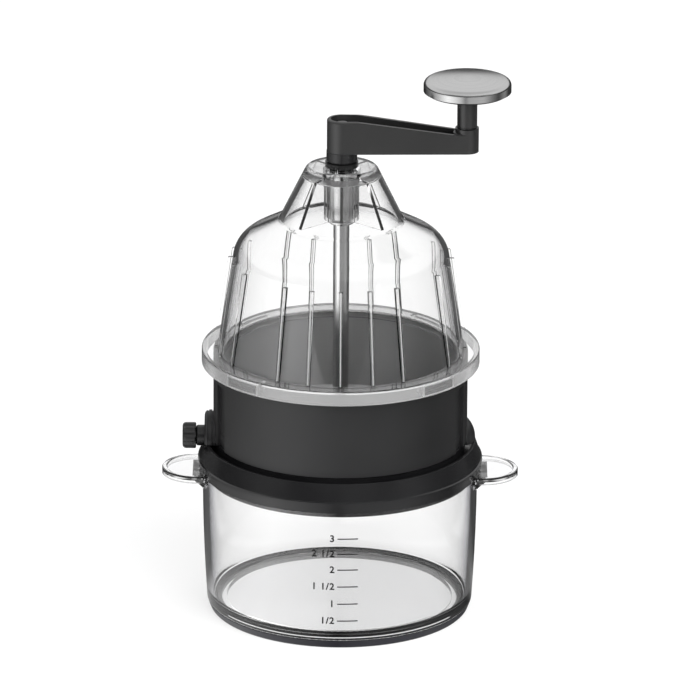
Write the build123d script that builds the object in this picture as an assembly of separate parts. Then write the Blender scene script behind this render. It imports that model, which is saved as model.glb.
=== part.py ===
from build123d import *
from math import sqrt
import os

# Hand-cranked spiralizer: a clear measuring container, a black blade housing on a
# base ring, a clear ribbed dome and a crank whose shaft slides down as the food is cut.
# Millimetres, +Z up, origin on the table under the middle of the container.
# The front is -Y, the crank arm points to +X and the blade selector to -X.

# ---- Fits --------------------------------------------------------------------
running_gap = 0.05     # radial, a shaft in its bore
easy_gap = 0.3         # between pieces that pass each other
seat_gap = 0.1         # under a face that turns on another

# ---- Container and foot ring ---------------------------------------------------
foot_height = 4.0
foot_inset = 0.2                 # the foot ring stands in from the container's base
foot_taper = 1.3
foot_bevel = 0.6
foot_width = 7.0
foot_spigot_depth = 2.5          # how far the container's base reaches into the ring
foot_spigot_wall = 2.5
container_rim_radius = 69.2
container_taper = 2.3            # from the rim in to the base
container_bulge = 0.65           # how far the side swells out half way up
container_height = 72.5
container_wall = 3.0
container_floor = 2.2
container_corner_radius = 4.5
container_edge_radius = 1.0

handle_length = 20.5             # from the container's rim to the tip of a tab handle
handle_width = 35.6
handle_root_radius = 4.0
handle_rim_height = 3.5
handle_rim_width = 2.6
handle_rim_rounding = 0.8
handle_web = 1.6
handle_gusset_drop = 6.5
handle_gusset_reach = 5.0
handle_gusset_width = 24.0

# ---- Base ring -------------------------------------------------------------------
skirt_overlap = 3.1              # how far the skirt hangs past the container's rim
skirt_gap = 0.4
skirt_wall = 1.2
lip_proud = 0.8
lip_height = 1.4
lip_above_rim = 1.1
ring_top_above_rim = 11.5
ring_top_inset = 1.2             # from the container's rim in to the ring's top edge
ring_flare = 2.9                 # how far the face flares out from the top edge to the lip
ring_land = 1.4
moat_width = 3.6                 # round the housing's foot
moat_depth = 4.0
moat_draft = 0.4
plug_gap = 0.8
plug_wall = 3.0
plug_depth = 6.5
throat_rise = 1.0                # slope from the plug's bore in to the throat
seal_height = 1.0
collar_above_ring_top = 1.7      # seat of the blade plate and the housing
collar_inset = 0.9               # from the housing's outside in to the collar's
ring_flange_height = 3.0
ring_opening_margin = 3.6        # from the screws' middles in to the free opening

# ---- Housing ---------------------------------------------------------------------
body_wall = 3.5
body_height = 45.3
body_rim_rounding = 0.8
groove_angle = 20.0              # middle of a groove from the side of the housing
groove_width_angle = 10.0
groove_depth = 2.0
groove_end_margin = 7.0
bead_height = 3.0                # ledge that clamps the blade plate
bead_width = 1.8
screw_circle_inset = 4.8         # from the housing's bore in to the screws' middles
screw_boss_radius = 3.8
screw_boss_height = 8.5
lug_angle = 16.0
lug_reach = 3.0
lug_height = 1.6
lug_below_rim = 0.3
corner_angles = (45, 135, 225, 315)
side_angles = (0, 90, 180, 270)
back_angle = 90

# ---- Blade selector ----------------------------------------------------------------
selector_above_ring_top = 1.2    # axis of the rod
rod_radius = 3.4
rod_journal_radius = 2.0
rod_journal_end_wall = 1.0       # in the hub, between the journal and the coring tube
rod_shoulder_gap = 0.4
selector_bush_wall = 1.6
pad_radius = 13.0
pad_proud = 4.4                  # past the housing's side
pad_rounding = 2.6
pad_over_ring_gap = 0.2
pad_groove_width = 0.8
pad_groove_depth = 0.6
pad_groove_spacing = 2.3
pad_groove_count = 2
pad_groove_first = 1.9           # back from the pad's face
cap_boss_radius = 9.9            # domed boss on the other side of the housing
cap_boss_proud = 4.1
saddle_radius = 8.5
stem_wall = 1.85
stem_gap = 0.35
stem_seat_depth = 2.1            # how far the stem enters the pad
stem_proud = 4.3                 # from the pad's face to the knob's head
stem_rounding = 1.2
selector_head_length = 6.8
selector_head_radius = 6.7
selector_head_rounding = 2.0
selector_head_back_rounding = 0.8
selector_lobe_count = 8
selector_lobe_cut_radius = 3.0
selector_lobe_cut_depth = 0.7
drive_flat_depth = 0.9
knob_socket_end_wall = 2.0

comb_thickness = 0.8
comb_depth = 2.2                 # depth of its slot in the rod
comb_base_sink = 0.2             # the gaps between the teeth lie this far inside the rod
comb_tip_proud = 3.4
comb_end_margin = 2.0
medium_tooth_count = 8
fine_tooth_count = 14
tooth_land = 0.35                # share of the pitch between two teeth
selector_step_angle = 120        # from one comb to the next

# ---- Blade plate ------------------------------------------------------------------
plate_height = 3.1
plate_fit = 0.2
hub_radius = 11.0
hub_drop = 5.2
window_margin = 7.2              # from the plate's edge in to the window
window_front_gap = 0.6           # past the sweep of the combs
window_back_gap = 2.4
rod_slot_gap = 0.5
key_width = 8.0
key_reach = 2.2
key_fit = 0.2

blade_thickness = 0.8
blade_gap = 0.57                 # from the sweep of the combs to the cutting edge
blade_edge_height = 2.7          # above the plate
blade_foot_width = 8.0
blade_margin = 1.0
blade_bevel = 1.2
blade_bevel_rise = 0.2
blade_screw_count = 2
blade_screw_inset = 8.0
coring_tube_radius = 5.0
coring_tube_wall = 0.7
coring_tube_above_plate = 3.2
coring_tube_below_hub = 4.5
coring_tube_bevel = 0.5

screw_radius = 1.5
screw_head_radius = 3.0
screw_head_height = 1.7
screw_crown_inset = 0.75
screw_crown_height = 1.0
screw_hole_gap = 0.15
screw_bite = 6.0
blade_screw_bite = 2.0
slot_width = 0.7
slot_depth = 0.7

# ---- Dome ---------------------------------------------------------------------------
dome_seat_gap = 0.2
lug_side_gap = 0.5               # from the housing's lugs out to the dome's skirt
flange_height = 1.8
flange_rounding = 0.7
dome_skirt_depth = 7.2
dome_skirt_wall = 2.4
dome_wall = 2.6
dome_foot_inset = 2.0            # from the housing's outside in to the dome's wall
dome_taper = 9.0                 # from the foot in to the corner of the shoulder
shoulder_height = 56.0           # that corner above the flange
shoulder_rounding = 14.5
neck_foot_radius = 31.2
neck_foot_rise = 11.5            # above the corner of the shoulder
neck_foot_rounding = 2.5
neck_top_radius = 17.6
neck_height = 27.8
neck_top_rounding = 3.0
neck_roof = 5.5
neck_ceiling_rounding = 1.5
guide_tube_wall = 3.4
guide_tube_length = 27.4
neck_web_width = 1.8
rib_width = 2.0
rib_height = 47.2                # above the flange
rib_top_proud = 2.2
rib_foot_proud = 1.2
short_rib_height = 38.2          # of the middle three at the back
short_rib_angles = (-15, 0, 15)
outer_rib_angles = (-30, 30)
rib_bead_height = 0.8            # of the bead that joins the tops of the short ribs
rib_bead_proud = 0.5
spigot_drop = 2.6                # bead that centres the dome in the housing
spigot_wall = 1.6
spigot_fit = 0.4
ledge_angle = 19.5
ledge_height = 1.4
ledge_gap = 0.3
ledge_stop_angle = 1.6
ledge_play_angle = 0.3

# ---- Guide bush ----------------------------------------------------------------------
shaft_radius = 4.0
bush_wall = 2.0
bush_flange_width = 2.3
bush_flange_height = 2.4
bush_below_tube = 2.4
clip_thickness = 1.0
clip_proud = 1.8
clip_groove_depth = 0.6
clip_mouth = 5.0
key_groove_width = 1.4
key_groove_depth = 1.0
key_side_gap = 0.2
key_tip_gap = 0.2

# ---- Crank ------------------------------------------------------------------------------
collar_wall = 3.7
collar_height = 5.5
collar_rounding = 0.8
crank_radius = 62.3              # from the shaft to the knob
arm_hub_radius = 7.5
arm_end_radius = 5.9
arm_hub_height = 16.7
arm_waist_height = 10.0          # at the end of the sloping top, beside the end boss
arm_end_height = 12.4
arm_rounding = 1.0
arm_wall = 1.9
arm_floor = 5.0
arm_floor_at_hub = 13.0
shaft_socket_roof = 2.5
arm_screw_head_radius = 3.4
arm_screw_bite = 8.0
knob_pin_radius = 2.5
knob_pin_bite = 8.0
knob_pin_head_radius = 4.4
knob_pin_head_height = 1.6
knob_pin_head_lift = 1.7         # above the underside of the disc
washer_thickness = 0.8
knob_post_wall = 2.5
knob_post_flare = 2.5
knob_post_flare_height = 3.0
disc_radius = 21.9
disc_edge_height = 6.6
disc_dome = 1.2
disc_gap = 17.9                  # from the end boss to the underside of the disc
cap_thickness = 0.8
cap_edge_rounding = 2.6
disc_skirt_inset = 1.2

# ---- Food holder ---------------------------------------------------------------------------
holder_radius = 22.0
holder_disc_height = 2.6
holder_tip_gap = 0.6             # from the tips of the combs to the tips of the teeth
holder_tooth_height = 4.4
holder_tooth_root_height = 1.1   # of a fin, between its teeth
holder_tooth_width = 1.2
holder_fin_count = 8
holder_fin_teeth = 2
holder_hub_wall = 4.5
holder_hub_top = 6.0             # above the underside of the disc
holder_hub_floor = 2.0           # under the end of the shaft
holder_hub_lift = 1.0            # from the tips of the teeth to the hub
holder_pin_radius = 1.2
holder_pin_height = 3.6          # above the underside of the disc

# ---- Levels and radii that follow ---------------------------------------------------------
container_rim_z = foot_height + container_height
container_floor_z = foot_height + container_floor
container_base_radius = container_rim_radius - container_taper
container_belly_radius = (container_rim_radius + container_base_radius) / 2 + container_bulge
container_bore_radius = container_rim_radius - container_wall
foot_top_radius = container_base_radius - foot_inset
foot_bore_radius = foot_top_radius - foot_width

skirt_z = container_rim_z - skirt_overlap
skirt_bore_radius = container_rim_radius + skirt_gap
skirt_radius = skirt_bore_radius + skirt_wall
lip_radius = skirt_radius + lip_proud
handle_top_z = skirt_z - easy_gap
plug_radius = container_bore_radius - plug_gap
ring_top_z = container_rim_z + ring_top_above_rim
ring_top_radius = container_rim_radius - ring_top_inset
moat_radius = ring_top_radius - ring_land
collar_under_body_radius = moat_radius - moat_width
collar_top_z = ring_top_z + collar_above_ring_top
ring_flange_z = collar_top_z - ring_flange_height

body_radius = collar_under_body_radius + collar_inset
body_bore_radius = body_radius - body_wall
body_top_z = collar_top_z + body_height
screw_circle_radius = body_bore_radius - screw_circle_inset
ring_opening_radius = screw_circle_radius - ring_opening_margin
plate_top_z = collar_top_z + plate_height
plate_radius = body_bore_radius - plate_fit
hub_bottom_z = collar_top_z - hub_drop
lug_radius = body_radius + lug_reach
lug_top_z = body_top_z - lug_below_rim

selector_z = ring_top_z + selector_above_ring_top
selector_bush_radius = rod_radius + selector_bush_wall
stem_radius = rod_radius + stem_wall
pad_reach = body_radius + pad_proud
cap_boss_reach = body_radius + cap_boss_proud
stem_end_reach = pad_reach + stem_proud
knob_end_reach = stem_end_reach + selector_head_length
pad_bottom_z = ring_top_z + pad_over_ring_gap
bush_inner_end = body_bore_radius + easy_gap
bush_outer_end = pad_reach - stem_seat_depth
window_end = plate_radius - window_margin
comb_start = hub_radius + comb_end_margin
comb_end = window_end - comb_end_margin
comb_root_radius = rod_radius - comb_depth
comb_base_radius = rod_radius - comb_base_sink
comb_tip_radius = rod_radius + comb_tip_proud
comb_tip_z = selector_z + comb_tip_radius
window_front = comb_tip_radius + window_front_gap
window_back = comb_tip_radius + window_back_gap
coring_tube_top_z = plate_top_z + coring_tube_above_plate
journal_end = coring_tube_radius + rod_journal_end_wall

flange_z = body_top_z + dome_seat_gap
flange_top_z = flange_z + flange_height
dome_skirt_bore_radius = lug_radius + lug_side_gap
flange_radius = dome_skirt_bore_radius + dome_skirt_wall
dome_skirt_z = flange_top_z - dome_skirt_depth
dome_foot_radius = body_radius - dome_foot_inset
shoulder_radius = dome_foot_radius - dome_taper
dome_top_z = flange_top_z + shoulder_height + neck_foot_rise + neck_height
guide_tube_z = dome_top_z - guide_tube_length

bush_radius = shaft_radius + bush_wall
bush_flange_radius = bush_radius + bush_flange_width
clip_radius = bush_radius + clip_proud
guide_tube_radius = bush_radius + guide_tube_wall
guide_bush_top_z = dome_top_z + seat_gap + bush_flange_height
guide_bush_bottom_z = guide_tube_z - bush_below_tube
collar_radius = shaft_radius + collar_wall
collar_z = guide_bush_top_z + seat_gap
arm_z = collar_z + collar_height
arm_top_z = arm_z + arm_hub_height
end_boss_z = arm_z + arm_end_height
shaft_top_z = arm_z + arm_floor_at_hub - shaft_socket_roof
knob_post_radius = knob_pin_radius + knob_post_wall
disc_z = end_boss_z + disc_gap
disc_top_z = disc_z + disc_edge_height
knob_pin_head_z = disc_z + knob_pin_head_lift

holder_disc_z = comb_tip_z + holder_tip_gap + holder_tooth_height
holder_hub_z = holder_disc_z - holder_tooth_height + holder_hub_lift
holder_hub_radius = shaft_radius + holder_hub_wall
shaft_bottom_z = holder_hub_z + holder_hub_floor


# ---- Shapes used more than once -----------------------------------------------------------
def section(*corners):
    """A flat face in the XZ plane from corners given as (radius, height)."""
    return Plane.XZ * make_face(Polyline(*corners, close=True))


def turned(*corners):
    """A solid turned about the vertical axis from the corners of its section."""
    return revolve(section(*corners), Axis.Z)


def tube(outer, inner, bottom, top):
    return turned((inner, bottom), (outer, bottom), (outer, top), (inner, top))


def rod(radius, bottom, top):
    return turned((0, bottom), (radius, bottom), (radius, top), (0, top))


def block(x_range, y_range, z_range):
    """A box from its low and high limits along X, Y and Z."""
    sizes = [high - low for low, high in (x_range, y_range, z_range)]
    low_corner = Pos(x_range[0], y_range[0], z_range[0])
    return low_corner * Box(*sizes, align=Align.MIN)


def sector(outer, inner, bottom, top, middle, width):
    """Part of a ring, that many degrees wide, with its middle at that angle from +X."""
    face = section((inner, bottom), (outer, bottom), (outer, top), (inner, top))
    return Rot(0, 0, middle - width / 2) * revolve(face, Axis.Z, width)


def plate_on_edge(thickness, *corners):
    """An upright plate in the XZ plane, from corners given as (x, z)."""
    return extrude(section(*corners), thickness / 2, both=True)


def around(shape, angles):
    """Copies of a shape, turned about the vertical axis."""
    return [Rot(0, 0, angle) * shape for angle in angles]


def leftward(shape):
    """Lays a shape down, so that its +Z points to -X along the selector's axis."""
    return Pos(0, 0, selector_z) * Rot(0, -90, 0) * shape


def rightward(shape):
    """Lays a shape down, so that its +Z points to +X along the selector's axis."""
    return Pos(0, 0, selector_z) * Rot(0, 90, 0) * shape


def round_edges_at(shape, height, radius, rounding):
    """Rounds the circular edges of that radius at that height."""
    near = 0.01
    circles = shape.edges().filter_by(GeomType.CIRCLE)
    level = circles.filter_by_position(Axis.Z, height - near, height + near)
    return fillet([edge for edge in level if abs(edge.radius - radius) < near], rounding)


def inset(corners, distance):
    """The corners of an outline, moved that far to its left, with each side kept parallel."""
    sides = []
    for start, end in zip(corners, corners[1:]):
        along = (Vector(*end) - Vector(*start)).normalized()
        left = Vector(-along.Y, along.X) * distance
        sides.append((Vector(*start) + left, along))
    moved = [sides[0][0]]
    for (first, along), (second, next_along) in zip(sides, sides[1:]):
        turn = along.X * next_along.Y - along.Y * next_along.X
        gap = second - first
        reach = (gap.X * next_along.Y - gap.Y * next_along.X) / turn
        moved.append(first + along * reach)
    last_start, last_along = sides[-1]
    last_length = (Vector(*corners[-1]) - Vector(*corners[-2])).length
    moved.append(last_start + last_along * last_length)
    return [(point.X, point.Y) for point in moved]


def screw(head_radius, head_height, shank_radius, length):
    """A slotted screw that points up, with the underside of its head at height 0."""
    slot = block((-head_radius, head_radius), (-slot_width / 2, slot_width / 2),
                 (-head_height, slot_depth - head_height))
    head = turned((0, -head_height), (head_radius - screw_crown_inset, -head_height),
                  (head_radius, screw_crown_height - head_height), (head_radius, 0), (0, 0))
    return head - slot + rod(shank_radius, 0, length)


# ---- Container ---------------------------------------------------------------------------
def bowl(shrink, bottom, corner):
    """The container's bellied round form, shrunk all over by a wall."""
    base = container_base_radius - shrink
    rim = container_rim_radius - shrink
    belly = container_belly_radius - shrink
    belly_z = foot_height + container_height / 2
    side = ThreePointArc((base, bottom), (belly, belly_z), (rim, container_rim_z))
    closing = Polyline((rim, container_rim_z), (0, container_rim_z), (0, bottom), (base, bottom))
    solid = revolve(Plane.XZ * make_face(side + closing), Axis.Z)
    return round_edges_at(solid, bottom, base, corner)


def tab_handle():
    """A flat tab with a raised rim and a gusset under it, towards +X."""
    middle = container_rim_radius + handle_length - handle_width / 2
    wall = container_rim_radius - container_wall / 2
    face = Circle(container_rim_radius - easy_gap)
    tab = Pos(middle) * Circle(handle_width / 2) + Pos(middle / 2) * Rectangle(middle, handle_width)
    hollow = offset(tab, -handle_rim_width) - face
    outline = tab + face
    outline = fillet(outline.vertices().filter_by_position(Axis.X, 0, middle - easy_gap), handle_root_radius)
    bottom_z = handle_top_z - handle_rim_height
    rim = Pos(0, 0, bottom_z) * extrude(outline - hollow, handle_rim_height)
    rim = fillet(rim.edges().group_by(Axis.Z)[-1], handle_rim_rounding)
    web_z = bottom_z + (handle_rim_height - handle_web) / 2
    web = Pos(0, 0, web_z) * extrude(hollow, handle_web)
    gusset = plate_on_edge(handle_gusset_width, (wall, web_z), (wall, web_z - handle_gusset_drop),
                           (container_rim_radius + handle_gusset_reach, web_z))
    return rim + web + gusset


def make_container():
    outside = bowl(0, foot_height, container_edge_radius)
    spigot_radius = foot_bore_radius - easy_gap / 2
    spigot_z = foot_height - foot_spigot_depth
    spigot = tube(spigot_radius, spigot_radius - foot_spigot_wall, spigot_z, foot_height)
    shell = outside + tab_handle() + Rot(0, 0, 180) * tab_handle() + spigot
    shell -= bowl(container_wall, container_floor_z, container_corner_radius)
    return shell


def make_foot_ring():
    bottom_radius = foot_top_radius - foot_taper
    return turned((foot_bore_radius, 0), (bottom_radius - foot_bevel, 0), (bottom_radius, foot_bevel),
                  (foot_top_radius, foot_height), (foot_bore_radius, foot_height))


# ---- Base ring, seal and ring screws ----------------------------------------------------
def make_base_ring():
    channel_z = container_rim_z + seal_height
    moat_z = ring_top_z - moat_depth
    lip_z = container_rim_z + lip_above_rim
    lip_top_z = lip_z + lip_height
    throat_radius = body_bore_radius - easy_gap - moat_draft
    throat_z = moat_z - plug_wall
    plug_bore = plug_radius - plug_wall
    plug_z = container_rim_z - plug_depth
    ring = turned(
        (skirt_bore_radius, skirt_z), (skirt_radius, skirt_z), (lip_radius, lip_z), (lip_radius, lip_top_z),
        (ring_top_radius + ring_flare, lip_top_z + moat_draft), (ring_top_radius, ring_top_z),
        (moat_radius, ring_top_z), (moat_radius - moat_draft, moat_z),
        (collar_under_body_radius, moat_z), (collar_under_body_radius, collar_top_z),
        (ring_opening_radius, collar_top_z), (ring_opening_radius, ring_flange_z),
        (throat_radius, ring_flange_z), (throat_radius, throat_z + throat_rise), (plug_bore, throat_z),
        (plug_bore, plug_z), (plug_radius, plug_z), (plug_radius, channel_z), (skirt_bore_radius, channel_z))
    saddle = leftward(rod(saddle_radius, collar_under_body_radius - moat_draft, moat_radius))
    ring += saddle & block((-lip_radius, 0), (-saddle_radius, saddle_radius), (throat_z, ring_top_z))
    slot_half = rod_radius + rod_slot_gap
    slot_end = ring_opening_radius - easy_gap
    ring -= leftward(rod(slot_half, slot_end, bush_inner_end))
    ring -= block((-bush_inner_end, -slot_end), (-slot_half, slot_half), (selector_z, collar_top_z))
    ring -= leftward(rod(selector_bush_radius, bush_inner_end, bush_outer_end))
    ring -= leftward(rod(stem_radius + stem_gap, bush_outer_end, lip_radius))
    hole = Pos(screw_circle_radius) * rod(screw_radius + screw_hole_gap, ring_flange_z, collar_top_z)
    return ring - around(hole, corner_angles)


def make_rim_seal():
    return tube(container_rim_radius, plug_radius + easy_gap, container_rim_z, container_rim_z + seal_height)


def make_ring_screws():
    length = plate_top_z - ring_flange_z + screw_bite
    one = Pos(screw_circle_radius, 0, ring_flange_z) * screw(
        screw_head_radius, screw_head_height, screw_radius, length)
    return around(one, corner_angles)


# ---- Housing ------------------------------------------------------------------------------
def selector_pad():
    """Round boss on the left that carries the selector's stem, with two ring grooves."""
    pad = rod(pad_radius, body_bore_radius, pad_reach)
    pad = round_edges_at(pad, pad_reach, pad_radius, pad_rounding)
    for index in range(pad_groove_count):
        low = pad_reach - pad_groove_first - pad_groove_spacing * index - pad_groove_width / 2
        pad -= tube(pad_radius + easy_gap, pad_radius - pad_groove_depth, low, low + pad_groove_width)
    return leftward(pad)


def cap_boss():
    """Plain domed boss on the right, opposite the selector."""
    curve_radius = (cap_boss_radius ** 2 + cap_boss_proud ** 2) / (2 * cap_boss_proud)
    dome = Pos(0, 0, cap_boss_reach - curve_radius) * Sphere(curve_radius)
    return rightward(dome & rod(cap_boss_radius, body_bore_radius, cap_boss_reach))


def screw_boss():
    """Boss inside the housing's foot, joined to the wall, for one of the ring screws."""
    top_z = plate_top_z + screw_boss_height
    post = Pos(screw_circle_radius) * rod(screw_boss_radius, plate_top_z, top_z)
    web = block((screw_circle_radius, body_bore_radius + body_wall / 2),
                (-screw_boss_radius, screw_boss_radius), (plate_top_z, top_z))
    hole = Pos(screw_circle_radius) * rod(screw_radius, plate_top_z, plate_top_z + screw_bite + easy_gap)
    return post + web - hole


def make_housing():
    wall = tube(body_radius, body_bore_radius, collar_top_z, body_top_z)
    wall = round_edges_at(wall, body_top_z, body_radius, body_rim_rounding)
    bosses = selector_pad() + cap_boss()
    bosses -= rod(body_bore_radius, 0, body_top_z)
    bosses -= rod(knob_end_reach, 0, pad_bottom_z)
    bosses -= rod(collar_under_body_radius + seat_gap, 0, collar_top_z)
    groove = sector(body_radius + easy_gap, body_radius - groove_depth,
                    collar_top_z, dome_skirt_z - groove_end_margin, 0, groove_width_angle)
    sides = (groove_angle, -groove_angle, 180 - groove_angle, 180 + groove_angle)
    wall -= around(groove, sides)
    inside_wall = body_bore_radius + body_wall / 2
    bead_top_z = plate_top_z + bead_height
    bead = turned((inside_wall, plate_top_z), (body_bore_radius - bead_width, plate_top_z),
                  (body_bore_radius, bead_top_z), (inside_wall, bead_top_z))
    lug = sector(lug_radius, inside_wall, lug_top_z - lug_height, lug_top_z, 0, lug_angle)
    housing = wall + bosses + bead + around(screw_boss(), corner_angles) + around(lug, corner_angles)
    housing -= leftward(rod(selector_bush_radius, body_bore_radius - bead_width - easy_gap, bush_outer_end))
    housing -= leftward(rod(stem_radius + stem_gap, bush_outer_end, pad_reach))
    key_half = key_width / 2 + key_fit
    housing -= block((0, plate_radius + key_reach + key_fit), (-key_half, key_half),
                     (collar_top_z, plate_top_z))
    return housing


# ---- Blade plate, blade and coring tube ---------------------------------------------------
def blade_screw_places():
    """Where the screws stand along the blade's foot."""
    first = -comb_end + blade_screw_inset
    last = -comb_start - blade_screw_inset
    step = (last - first) / (blade_screw_count - 1)
    across = window_back + blade_margin + blade_foot_width / 2
    return [(first + step * index, across) for index in range(blade_screw_count)]


def make_blade_plate():
    plate = rod(plate_radius, collar_top_z, plate_top_z)
    plate += rod(hub_radius, hub_bottom_z, plate_top_z)
    half_key = key_width / 2
    plate += block((plate_radius - key_reach, plate_radius + key_reach), (-half_key, half_key),
                   (collar_top_z, plate_top_z - key_fit))
    window = block((-window_end, 0), (-window_front, window_back), (collar_top_z, plate_top_z))
    window -= rod(hub_radius, collar_top_z, plate_top_z)
    plate -= window
    slot_half = rod_radius + rod_slot_gap
    plate -= block((-plate_radius, -window_end), (-slot_half, slot_half), (collar_top_z, plate_top_z))
    plate -= rod(coring_tube_radius, hub_bottom_z, plate_top_z)
    plate -= leftward(rod(rod_journal_radius + running_gap, journal_end - easy_gap, hub_radius + easy_gap))
    ring_hole = Pos(screw_circle_radius) * rod(screw_radius + screw_hole_gap, collar_top_z, plate_top_z)
    plate -= around(ring_hole, corner_angles)
    for x, y in blade_screw_places():
        plate -= Pos(x, y) * rod(screw_radius, plate_top_z - blade_screw_bite, plate_top_z)
    return plate


def blade_edge_place():
    """From the rod's axis to the cutting edge, so that the turning combs pass under it."""
    rise = plate_top_z + blade_edge_height - blade_thickness - selector_z
    return sqrt((comb_tip_radius + blade_gap) ** 2 - rise ** 2) - blade_bevel / 2


def make_straight_blade():
    """A strip bent up towards the food, ground to an edge, with its foot on the plate."""
    bend = window_back + blade_margin / 2
    foot_end = window_back + blade_margin + blade_foot_width
    edge = blade_edge_place()
    edge_z = plate_top_z + blade_edge_height
    profile = make_face(Plane.YZ * Polyline(
        (foot_end, plate_top_z), (bend, plate_top_z), (edge + blade_bevel / 2, edge_z - blade_thickness),
        (edge, edge_z), (edge + blade_bevel, edge_z + blade_bevel_rise),
        (bend + blade_bevel_rise, plate_top_z + blade_thickness),
        (foot_end, plate_top_z + blade_thickness), close=True))
    blade = Pos(-comb_end) * extrude(profile, comb_end - comb_start, dir=(1, 0, 0))
    for x, y in blade_screw_places():
        blade -= Pos(x, y) * rod(screw_radius + screw_hole_gap, plate_top_z, plate_top_z + blade_thickness)
    return blade


def make_blade_screws():
    top_z = plate_top_z + blade_thickness
    one = Rot(180, 0, 0) * screw(screw_head_radius, screw_head_height, screw_radius,
                                 blade_screw_bite + blade_thickness)
    return [Pos(x, y, top_z) * one for x, y in blade_screw_places()]


def make_coring_tube():
    bore = coring_tube_radius - coring_tube_wall
    bottom_z = hub_bottom_z - coring_tube_below_hub
    return turned((bore, bottom_z), (coring_tube_radius, bottom_z),
                  (coring_tube_radius, coring_tube_top_z - coring_tube_bevel),
                  (bore, coring_tube_top_z))


# ---- Blade selector -------------------------------------------------------------------------
def comb(tooth_count):
    """A steel strip with pointed teeth, upright over the rod's axis before it is turned."""
    pitch = (comb_end - comb_start) / tooth_count
    flank = pitch * (1 - tooth_land) / 2
    outline = [(comb_root_radius, comb_end), (comb_root_radius, comb_start), (comb_base_radius, comb_start)]
    for index in range(tooth_count):
        middle = comb_start + pitch * (index + 0.5)
        outline += [(comb_base_radius, middle - flank), (comb_tip_radius, middle),
                    (comb_base_radius, middle + flank)]
    outline.append((comb_base_radius, comb_end))
    return plate_on_edge(comb_thickness, *outline)


def comb_slot():
    half = comb_thickness / 2
    return block((comb_root_radius, comb_tip_radius), (-half, half), (comb_start, comb_end))


def drive_end(radius, bottom, top):
    """A round end with one flat, which turns the knob with the rod."""
    flat = radius - drive_flat_depth
    return rod(radius, bottom, top) & block((-flat, radius), (-radius, radius), (bottom, top))


def make_selector_rod():
    shoulder = hub_radius + rod_shoulder_gap
    bar = rod(rod_radius, shoulder, bush_outer_end)
    bar += rod(rod_journal_radius, journal_end, shoulder)
    bar += drive_end(rod_radius, bush_outer_end, knob_end_reach - knob_socket_end_wall - seat_gap)
    bar -= [comb_slot(), Rot(0, 0, -selector_step_angle) * comb_slot()]
    return leftward(bar)


def make_selector_bush():
    return leftward(tube(selector_bush_radius, rod_radius + running_gap, bush_inner_end, bush_outer_end))


def make_selector_knob():
    """Lobed head on a round stem that enters the pad."""
    stem = rod(stem_radius, bush_outer_end + easy_gap, stem_end_reach)
    stem = round_edges_at(stem, stem_end_reach, stem_radius, stem_rounding)
    head = rod(selector_head_radius, stem_end_reach, knob_end_reach)
    head = round_edges_at(head, knob_end_reach, selector_head_radius, selector_head_rounding)
    head = round_edges_at(head, stem_end_reach, selector_head_radius, selector_head_back_rounding)
    cut = Pos(selector_head_radius + selector_lobe_cut_radius - selector_lobe_cut_depth) * rod(
        selector_lobe_cut_radius, stem_end_reach, knob_end_reach)
    step = 360 / selector_lobe_count
    head -= around(cut, [step * (index + 0.5) for index in range(selector_lobe_count)])
    socket = drive_end(rod_radius, bush_outer_end, knob_end_reach - knob_socket_end_wall)
    return leftward(stem + head - socket)


# ---- Dome --------------------------------------------------------------------------------
def dome_outline():
    """Corners of the dome's outer wall, from the flange up to the top of the neck."""
    shoulder_z = flange_top_z + shoulder_height
    return [(dome_foot_radius, flange_top_z), (shoulder_radius, shoulder_z),
            (neck_foot_radius, shoulder_z + neck_foot_rise), (neck_top_radius, dome_top_z)]


def dome_form(corners, roundings):
    """A solid dome from the corners of its wall, rounded at shoulder, neck foot and neck top."""
    top_z = corners[-1][1]
    wall = FilletPolyline(*corners, (0, top_z), radius=roundings)
    closing = Polyline((0, top_z), (0, corners[0][1]), corners[0])
    return revolve(Plane.XZ * make_face(wall + closing), Axis.Z)


def dome_wall_radius(height):
    """Outer radius of the wall's straight part, at a height above the flange."""
    return dome_foot_radius - (dome_foot_radius - shoulder_radius) / shoulder_height * height


def dome_rib(height):
    inside = dome_wall / 2
    top_radius = dome_wall_radius(height)
    top_z = flange_top_z + height
    return plate_on_edge(
        rib_width, (dome_foot_radius - inside, flange_top_z),
        (dome_foot_radius + rib_foot_proud, flange_top_z),
        (top_radius + rib_top_proud, top_z), (top_radius - inside, top_z))


def dome_ribs():
    """Upright ribs on the outside of the wall, in groups of five, with three short ones at the back."""
    outer_angles = [side + angle for side in side_angles for angle in outer_rib_angles]
    middle_angles = [side + angle for side in side_angles for angle in short_rib_angles]
    short_angles = [back_angle + angle for angle in short_rib_angles]
    tall_angles = outer_angles + [angle for angle in middle_angles if angle not in short_angles]
    bead_top_z = flange_top_z + short_rib_height
    wall_radius = dome_wall_radius(short_rib_height)
    bead = sector(wall_radius + rib_bead_proud, wall_radius - dome_wall / 2,
                  bead_top_z - rib_bead_height, bead_top_z,
                  back_angle, max(short_rib_angles) - min(short_rib_angles))
    tall_ribs = around(dome_rib(rib_height), tall_angles)
    short_ribs = around(dome_rib(short_rib_height), short_angles)
    return tall_ribs + short_ribs + [bead]


def bayonet_ledge():
    """Ledge under a housing lug, with the stop that the lug meets when the dome is locked."""
    top_z = lug_top_z - lug_height - ledge_gap
    inner = body_radius + easy_gap
    outer = flange_radius - dome_skirt_wall / 2
    stop_middle = lug_angle / 2 + ledge_play_angle + ledge_stop_angle / 2
    ledge_middle = stop_middle + (ledge_stop_angle - ledge_angle) / 2
    ledge = sector(outer, inner, top_z - ledge_height, top_z, ledge_middle, ledge_angle)
    stop = sector(outer, inner, top_z - ledge_height, flange_z + flange_height / 2,
                  stop_middle, ledge_stop_angle)
    return ledge + stop


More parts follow.
